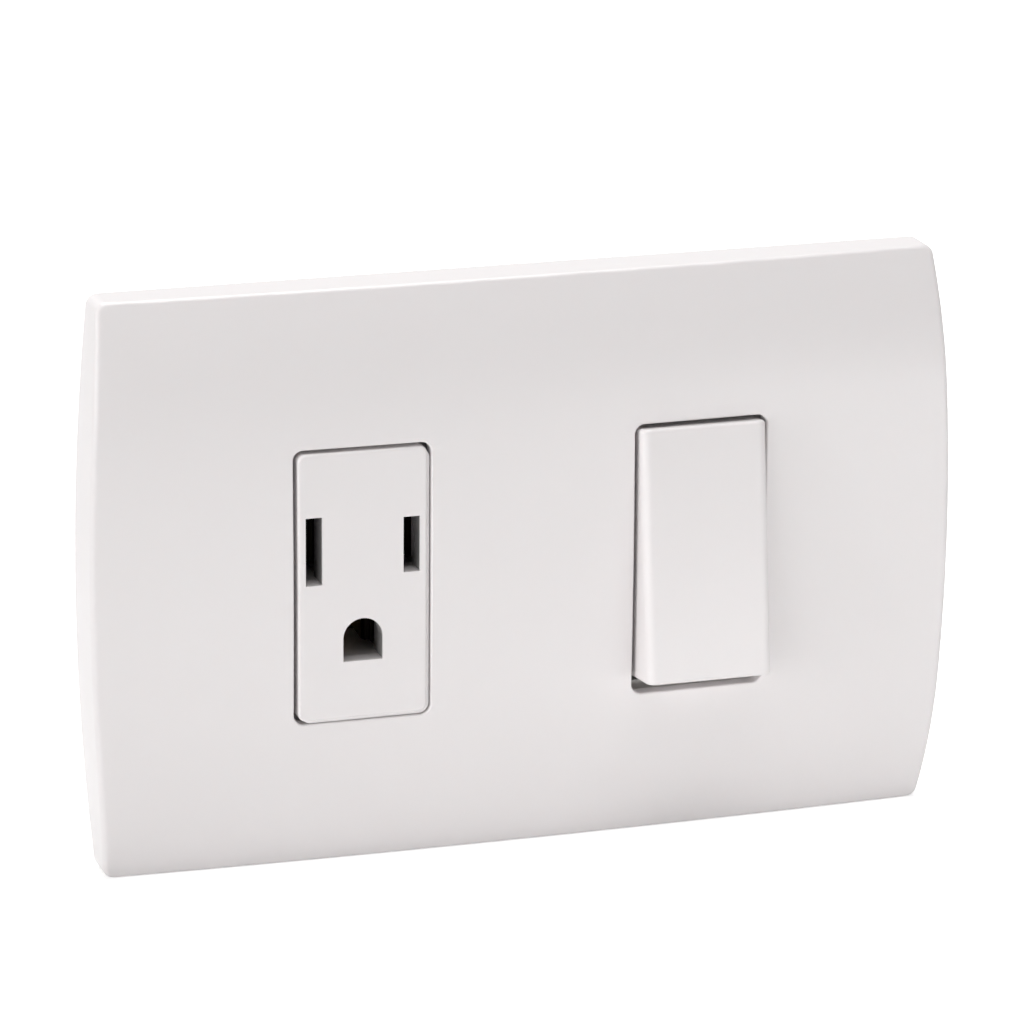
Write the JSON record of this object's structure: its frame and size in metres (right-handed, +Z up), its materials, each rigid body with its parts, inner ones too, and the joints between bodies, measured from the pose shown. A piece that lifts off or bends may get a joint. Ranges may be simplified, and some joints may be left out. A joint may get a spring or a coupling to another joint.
{
  "type": "switch and socket combination",
  "caption": "Crowned white wall plate on its mounting frame, with a three-pin socket module at the left and a rocker switch module at the right.",
  "frame": {"origin": "centre of the mounting frame back face, in the plane of the wall", "axes": "+X to the right along the plate, +Y into the wall, +Z up"},
  "size_m": [0.114, 0.0376, 0.075],
  "materials": {
    "white_face": "moulded ABS, satin gloss, warm white",
    "white_body": "moulded polycarbonate, matt white",
    "grey_frame": "moulded glass-filled polyamide, matt grey",
    "grey_body": "moulded polyamide, matt light grey",
    "brass": "rolled brass strip, punched and folded",
    "contact_silver": "silver alloy contact rivet",
    "zinc_steel": "steel, zinc plated, clear passivated",
    "clamp_steel": "pressed steel, zinc plated",
    "spring_steel": "hard-drawn spring wire",
    "nylon": "moulded polyamide, natural"
  },
  "bodies": {
    "root": {"cover_plate": "white_face", "socket_front_shell": "white_face", "switch_housing": "white_body", "mounting_frame": "grey_frame", "socket_rear_cover": "grey_body", "switch_rear_cover": "grey_body", "neutral_contact": "brass", "line_contact": "brass", "earth_contact": "brass", "common_terminal": "brass", "load_terminal": "brass", "fixed_contact_tip": "contact_silver", "box_screw_left": "zinc_steel", "box_screw_right": "zinc_steel", "socket_case_screw_top": "zinc_steel", "socket_case_screw_left": "zinc_steel", "socket_case_screw_right": "zinc_steel", "switch_case_screw_top": "zinc_steel", "switch_case_screw_bottom": "zinc_steel", "neutral_terminal_screw": "zinc_steel", "line_terminal_screw": "zinc_steel", "earth_terminal_screw": "zinc_steel", "load_terminal_screw": "zinc_steel", "common_terminal_screw": "zinc_steel", "neutral_clamp_plate": "clamp_steel", "line_clamp_plate": "clamp_steel", "earth_clamp_plate": "clamp_steel", "load_clamp_plate": "clamp_steel", "common_clamp_plate": "clamp_steel"},
    "rocker_body": {"rocker": "white_face", "plunger_spring": "spring_steel"},
    "plunger_body": {"plunger": "nylon"},
    "lever_body": {"contact_lever": "brass", "moving_contact_tip": "contact_silver"}
  },
  "joints": [
    {"name": "rocker_tilt", "type": "hinge", "parent": "root", "child": "rocker_body", "pos_m": [0.02235, -0.0034, 0], "axis": [1, 0, 0], "range_deg": [0, 14]},
    {"name": "lever_rock", "type": "hinge", "parent": "root", "child": "lever_body", "pos_m": [0.02235, 0.0085, 0], "axis": [1, 0, 0], "range_deg": [-10, 0]},
    {"name": "plunger_slide", "type": "slide", "parent": "rocker_body", "child": "plunger_body", "axis": [0, -0.9925, 0.1219], "range_m": [0, 0.0008], "stiffness_N_per_m": 300, "springref_m": -0.003, "deforming": ["plunger_spring"]}
  ],
  "couplings": [
    {"joint": "lever_rock", "follows": "rocker_tilt", "ratio": -0.7142}
  ]
}
